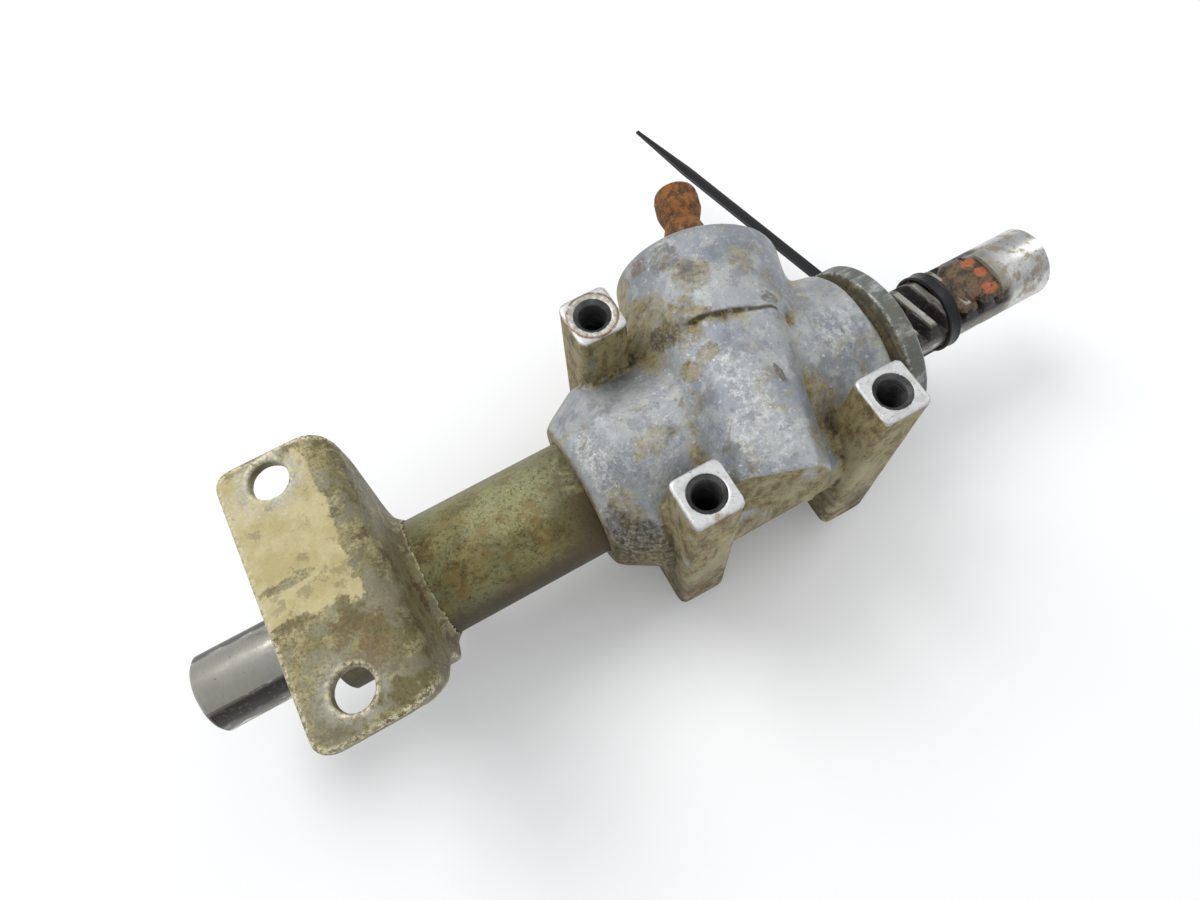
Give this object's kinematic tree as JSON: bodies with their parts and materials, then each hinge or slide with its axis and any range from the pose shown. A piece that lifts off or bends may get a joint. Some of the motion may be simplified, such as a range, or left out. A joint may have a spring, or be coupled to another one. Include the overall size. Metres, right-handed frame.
{
  "type": "manual rack-and-pinion steering gear",
  "caption": "Cast housing with a helical rack bar passing through it, an oblique serrated pinion stub, a zinc-plated tube with an outer mounting bracket, and a tie left on the rack.",
  "frame": {"origin": "middle of the underside of the whole assembly's box, as it rests with the mounting pads facing up", "axes": "+X along the rack bar from the bracket to the toothed end, +Y to the side where the pinion stub stands out, +Z square to the mounting pads"},
  "size_m": [0.308, 0.1806, 0.0928],
  "materials": {
    "cast_aluminium": "as cast, oxidised and dirty",
    "zinc_tube": "yellow zinc plate, stained",
    "zinc_bracket": "yellow zinc plate, worn and stained",
    "ground_steel": "ground, greasy",
    "bush_bronze": "sintered",
    "spring_steel": "dark phosphate",
    "rusty_steel": "rusted stub, oiled teeth",
    "bearing_steel": "ground",
    "cage_steel": "pressed",
    "nitrile": "moulded",
    "yoke_metal": "sintered, greased",
    "zinc_plug": "yellow zinc plate",
    "black_nylon": "moulded"
  },
  "bodies": {
    "housing_body": {"housing": "cast_aluminium", "rack_tube": "zinc_tube", "outer_bracket": "zinc_bracket", "rack_bush_outer": "bush_bronze", "rack_bush_inner": "bush_bronze", "bush_retaining_ring": "spring_steel", "pinion_bearing_outer_race": "bearing_steel", "pinion_lower_bush": "bush_bronze", "bearing_circlip": "spring_steel", "pinion_oil_seal": "nitrile", "yoke_spring": "spring_steel"},
    "rack": {"rack_bar": "ground_steel", "cable_tie": "black_nylon"},
    "pinion": {"pinion_shaft": "rusty_steel", "pinion_bearing_inner_race": "bearing_steel", "shaft_circlip": "spring_steel"},
    "bearing_cage": {"pinion_bearing_cage": "cage_steel"},
    "yoke_body": {"yoke": "yoke_metal", "yoke_o_ring": "nitrile"},
    "adjuster_plug": {"yoke_adjuster_plug": "zinc_plug"},
    "lock_nut": {"yoke_lock_nut": "zinc_plug"}
  },
  "joints": [
    {"name": "rack_slide", "type": "slide", "parent": "housing_body", "child": "rack", "axis": [1, 0, 0], "range_m": [-0.01, 0.03]},
    {"name": "pinion_turn", "type": "hinge", "parent": "housing_body", "child": "pinion", "pos_m": [0.02735, -0.04748, 0.062], "axis": [0.3256, 0.9455, 0], "range_deg": [-239, 80]},
    {"name": "bearing_cage_turn", "type": "hinge", "parent": "housing_body", "child": "bearing_cage", "pos_m": [0.02735, -0.04748, 0.062], "axis": [0.3256, 0.9455, 0], "range_deg": [-93, 32]},
    {"name": "yoke_slide", "type": "slide", "parent": "housing_body", "child": "yoke_body", "axis": [0, 0, -1], "range_m": [0, 0.0012], "stiffness_N_per_m": 15000, "springref_m": -0.004, "deforming": ["yoke_spring"]},
    {"name": "adjuster_plug_turn", "type": "hinge", "parent": "housing_body", "child": "adjuster_plug", "pos_m": [0.02735, -0.04748, 0.006], "axis": [0, 0, 1], "range_deg": [-20, 20]},
    {"name": "lock_nut_turn", "type": "hinge", "parent": "housing_body", "child": "lock_nut", "pos_m": [0.02735, -0.04748, 0.004], "axis": [0, 0, 1], "range_deg": [-30, 30]}
  ],
  "couplings": [
    {"joint": "pinion_turn", "follows": "rack_slide", "rad_per_m": -138.74},
    {"joint": "bearing_cage_turn", "follows": "rack_slide", "rad_per_m": -53.406}
  ]
}
